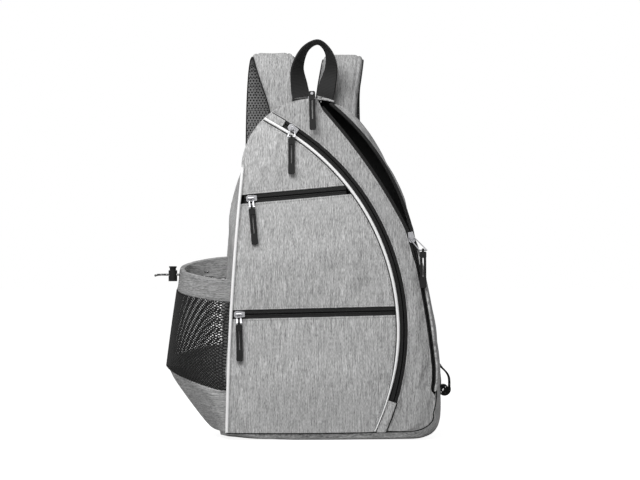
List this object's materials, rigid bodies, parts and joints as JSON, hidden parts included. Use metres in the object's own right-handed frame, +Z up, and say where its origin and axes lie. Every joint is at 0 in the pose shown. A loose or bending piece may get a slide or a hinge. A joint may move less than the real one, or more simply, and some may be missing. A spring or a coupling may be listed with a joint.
{
  "type": "racket backpack",
  "caption": "Teardrop racket backpack with zipped front pockets, an open racket zip down one edge, padded straps, carry loop and a side bottle pocket of net.",
  "frame": {"origin": "on the floor, at the middle of the flat base", "axes": "+Z up, +X to the viewer's right when facing the front, the front faces -Y and leans back"},
  "size_m": [0.4132, 0.1975, 0.5481],
  "materials": {
    "grey_cloth": "light grey heather polyester weave",
    "dark_cloth": "dark grey lining weave",
    "black_net": "black open warp-knit net",
    "white_piping": "white piping",
    "zip_tape": "charcoal nylon coil zip tape",
    "silver_metal": "plated zinc",
    "black_webbing": "black woven webbing",
    "black_moulding": "moulded black plastic",
    "black_cord": "black cord with light flecks"
  },
  "bodies": {
    "bag": {"back_board": "dark_cloth", "back_pads": "black_net", "left_gusset": "grey_cloth", "shoulder_gusset": "grey_cloth", "top_gusset": "grey_cloth", "right_gusset": "grey_cloth", "base_gusset": "grey_cloth", "base_board": "dark_cloth", "divider": "dark_cloth", "divider_gusset": "dark_cloth", "pocket_liner": "dark_cloth", "organiser_top": "grey_cloth", "organiser_middle": "grey_cloth", "organiser_bottom": "grey_cloth", "strip_panel": "grey_cloth", "zip_garage": "grey_cloth", "zip_end_tab": "grey_cloth", "left_piping": "white_piping", "curved_piping": "white_piping", "upper_zip": "zip_tape", "lower_zip": "zip_tape", "front_zip": "zip_tape", "racket_zip": "zip_tape", "shoulder_zip": "zip_tape", "pocket_hem": "grey_cloth", "pocket_net": "black_net", "pocket_base": "grey_cloth", "draw_cord": "black_cord", "anchor_left": "black_webbing", "anchor_right": "black_webbing"},
    "upper_slider": {"upper_slider": "silver_metal"},
    "upper_pull": {"upper_link": "silver_metal", "upper_tab": "black_moulding"},
    "lower_slider": {"lower_slider": "silver_metal"},
    "lower_pull": {"lower_link": "silver_metal", "lower_tab": "black_moulding"},
    "front_slider": {"front_slider": "silver_metal"},
    "front_link": {"front_link": "silver_metal"},
    "front_tab": {"front_tab": "black_moulding"},
    "racket_slider": {"racket_slider": "silver_metal"},
    "racket_link": {"racket_link": "silver_metal"},
    "racket_tab": {"racket_tab": "black_moulding"},
    "shoulder_slider": {"shoulder_slider": "silver_metal"},
    "shoulder_link": {"shoulder_link": "silver_metal"},
    "shoulder_tab": {"shoulder_tab": "black_moulding"},
    "cord_lock": {"cord_lock_body": "black_moulding", "cord_lock_spring": "silver_metal"},
    "cord_lock_button": {"cord_lock_button": "black_moulding"},
    "carry_handle": {"carry_handle": "black_webbing"},
    "strap_left": {"strap_left_pad": "grey_cloth", "strap_left_lining": "black_net", "ladder_lock_left": "black_moulding", "webbing_left": "black_webbing", "tail_left": "black_webbing"},
    "strap_right": {"strap_right_pad": "grey_cloth", "strap_right_lining": "black_net", "ladder_lock_right": "black_moulding", "webbing_right": "black_webbing", "tail_right": "black_webbing"}
  },
  "joints": [
    {"name": "upper_slider_run", "type": "slide", "parent": "bag", "child": "upper_slider", "axis": [0.9959, 0.0087, 0.0902], "range_m": [0, 0.12]},
    {"name": "upper_pull_flip", "type": "hinge", "parent": "upper_slider", "child": "upper_pull", "pos_m": [-0.11163, -0.04329, 0.32752], "axis": [-0.9959, -0.0087, -0.0902], "range_deg": [0, 130]},
    {"name": "lower_slider_run", "type": "slide", "parent": "bag", "child": "lower_slider", "axis": [0.9997, 0.0023, 0.0243], "range_m": [0, 0.2]},
    {"name": "lower_pull_flip", "type": "hinge", "parent": "lower_slider", "child": "lower_pull", "pos_m": [-0.12763, -0.05844, 0.17014], "axis": [-0.9997, -0.0023, -0.0243], "range_deg": [0, 130]},
    {"name": "front_slider_run", "type": "hinge", "parent": "bag", "child": "front_slider", "pos_m": [-0.23173, -0.05435, 0.14788], "axis": [0, -0.9954, 0.0958], "range_deg": [-72, 0]},
    {"name": "front_link_swivel", "type": "hinge", "parent": "front_slider", "child": "front_link", "pos_m": [-0.05501, -0.03359, 0.42348], "axis": [0, -0.9954, 0.0958], "range_deg": [0, 72]},
    {"name": "front_tab_flip", "type": "hinge", "parent": "front_link", "child": "front_tab", "pos_m": [-0.05668, -0.03553, 0.41173], "axis": [-1, 0, 0], "range_deg": [0, 110]},
    {"name": "racket_slider_run", "type": "hinge", "parent": "bag", "child": "racket_slider", "pos_m": [-0.208, -0.04867, 0.20688], "axis": [0, -0.9954, 0.0958], "range_deg": [0, 35]},
    {"name": "racket_link_swivel", "type": "hinge", "parent": "racket_slider", "child": "racket_link", "pos_m": [0.10676, -0.04798, 0.27403], "axis": [0, -0.9954, 0.0958], "range_deg": [-35, 0]},
    {"name": "racket_tab_flip", "type": "hinge", "parent": "racket_link", "child": "racket_tab", "pos_m": [0.12215, -0.05042, 0.25709], "axis": [-1, 0, 0], "range_deg": [0, 110]},
    {"name": "shoulder_slider_run", "type": "hinge", "parent": "bag", "child": "shoulder_slider", "pos_m": [-0.026, -0.01482, 0.36439], "axis": [0, -0.9954, 0.0958], "range_deg": [0, 80]},
    {"name": "shoulder_link_flip", "type": "hinge", "parent": "shoulder_slider", "child": "shoulder_link", "pos_m": [-0.02872, -0.00487, 0.46768], "axis": [-0.9997, -0.0025, -0.0261], "range_deg": [0, 100]},
    {"name": "shoulder_tab_swivel", "type": "hinge", "parent": "shoulder_link", "child": "shoulder_tab", "pos_m": [-0.02872, -0.03474, 0.47055], "axis": [0, -0.9954, 0.0958], "range_deg": [-80, 0]},
    {"name": "cord_lock_run", "type": "slide", "parent": "bag", "child": "cord_lock", "axis": [-1, 0, 0], "range_m": [0, 0.012]},
    {"name": "cord_lock_press", "type": "slide", "parent": "cord_lock", "child": "cord_lock_button", "axis": [0, 0, -1], "range_m": [0, 0.003], "stiffness_N_per_m": 400, "deforming": ["cord_lock_spring"]},
    {"name": "carry_handle_swing", "type": "hinge", "parent": "bag", "child": "carry_handle", "pos_m": [-0.0265, 0.038, 0.47025], "axis": [1, 0, 0], "range_deg": [-5, 70]},
    {"name": "strap_left_swing", "type": "hinge", "parent": "bag", "child": "strap_left", "pos_m": [-0.05, 0.053, 0.448], "axis": [1, 0, 0], "range_deg": [0, 6], "deforming": ["webbing_left", "tail_left"]},
    {"name": "strap_right_swing", "type": "hinge", "parent": "bag", "child": "strap_right", "pos_m": [-0.002, 0.053, 0.448], "axis": [1, 0, 0], "range_deg": [0, 6], "deforming": ["webbing_right", "tail_right"]}
  ],
  "couplings": [
    {"joint": "front_link_swivel", "follows": "front_slider_run", "ratio": -1},
    {"joint": "racket_link_swivel", "follows": "racket_slider_run", "ratio": -1},
    {"joint": "shoulder_tab_swivel", "follows": "shoulder_slider_run", "ratio": -1}
  ]
}
